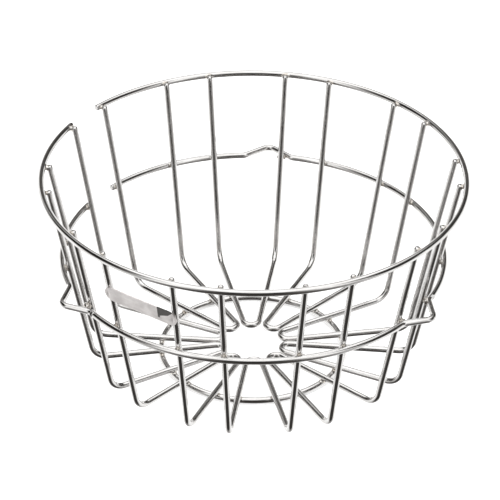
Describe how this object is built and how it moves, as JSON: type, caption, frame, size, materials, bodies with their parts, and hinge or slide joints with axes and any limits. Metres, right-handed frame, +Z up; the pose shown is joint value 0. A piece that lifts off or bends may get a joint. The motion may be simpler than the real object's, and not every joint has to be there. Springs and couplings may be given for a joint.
{
  "type": "wire filter basket",
  "caption": "Round tapering wire basket that holds a paper coffee filter in a brew funnel, with open upper rings, outward locating lugs and a closed base ring.",
  "frame": {"origin": "on the basket's axis, on the plane the base ring stands on", "axes": "+Z up out of the open mouth, along the basket's axis; the gap in the two upper rings faces 144 degrees anticlockwise from +X seen from above"},
  "size_m": [0.214, 0.214, 0.1062],
  "materials": {
    "bright_wire": "bright plated or electropolished steel wire",
    "satin_strip": "satin thin sheet, blank"
  },
  "bodies": {
    "root": {"top_ring": "bright_wire", "mid_ring": "bright_wire", "base_ring": "bright_wire", "hairpin_wire_01": "bright_wire", "hairpin_wire_02": "bright_wire", "hairpin_wire_03": "bright_wire", "hairpin_wire_04": "bright_wire", "hairpin_wire_05": "bright_wire", "hairpin_wire_06": "bright_wire", "hairpin_wire_07": "bright_wire", "hairpin_wire_08": "bright_wire", "hairpin_wire_09": "bright_wire", "hairpin_wire_10": "bright_wire", "name_tag": "satin_strip"}
  },
  "joints": []
}
